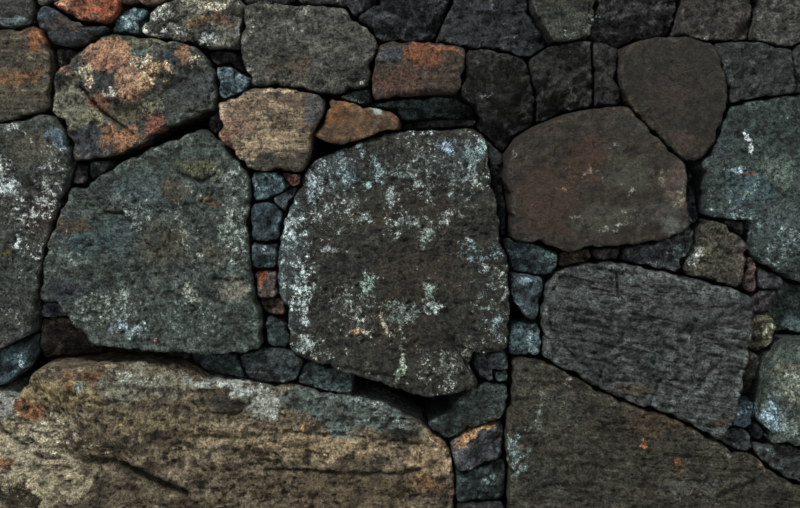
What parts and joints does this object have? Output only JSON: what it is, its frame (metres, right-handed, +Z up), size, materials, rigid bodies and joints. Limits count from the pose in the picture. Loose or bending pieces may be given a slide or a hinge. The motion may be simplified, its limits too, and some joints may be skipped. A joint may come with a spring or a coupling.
{
  "type": "dry stone wall",
  "caption": "Free-standing wall of irregular dark basalt rubble laid without mortar, battered on both faces, with pins in the joints, through stones at the heads and a flat cope",
  "frame": {"origin": "middle of the wall's foot, on the ground plane", "axes": "X along the wall, -Y the front face, Z up"},
  "size_m": [2.8, 0.74, 1.4],
  "materials": {
    "stone_tan": "rough natural stone: tan, layered basalt with cream and orange weathering",
    "stone_dark": "rough natural stone: dark brown-black basalt with grey-green lichen",
    "stone_green": "rough natural stone: green-grey basalt with pale lichen",
    "stone_brown": "rough natural stone: smooth red-brown to olive basalt",
    "stone_rust": "rough natural stone: basalt stained orange and cream by iron",
    "stone_grey": "rough natural stone: grey basalt with fine layers",
    "stone_blue": "rough natural stone: blue-black basalt",
    "rubble": "loose small basalt rubble, in the dark of the wall's middle"
  },
  "bodies": {
    "root": {"boulder_left": "stone_tan", "boulder_right": "stone_dark", "green_stone": "stone_green", "lichen_stone": "stone_dark", "brown_stone": "stone_brown", "ribbed_stone": "stone_grey", "tall_stone_left": "stone_green", "tall_stone_right": "stone_green", "rust_stone": "stone_rust", "tan_stone": "stone_rust", "orange_wedge": "stone_rust", "wedge_stone": "stone_brown", "top_dark_stone": "stone_grey", "top_rust_stone": "stone_rust", "mottled_stone": "stone_grey", "left_upper_stone": "stone_brown", "triangle_stone": "stone_tan", "corner_stone_right": "stone_green", "dark_block": "stone_blue", "blue_slab": "stone_blue", "red_stone": "stone_rust", "top_left_stone": "stone_grey", "front_small_stones_a": "stone_blue", "front_small_stones_b": "stone_green", "front_small_stones_c": "stone_grey", "front_small_stones_d": "stone_dark", "back_stones_a": "stone_grey", "back_stones_b": "stone_green", "back_stones_c": "stone_brown", "back_stones_d": "stone_dark", "left_head_long": "stone_brown", "left_head_short": "stone_grey", "right_head_long": "stone_green", "right_head_short": "stone_brown", "hearting": "rubble", "cope_stones": "stone_grey"}
  },
  "joints": []
}
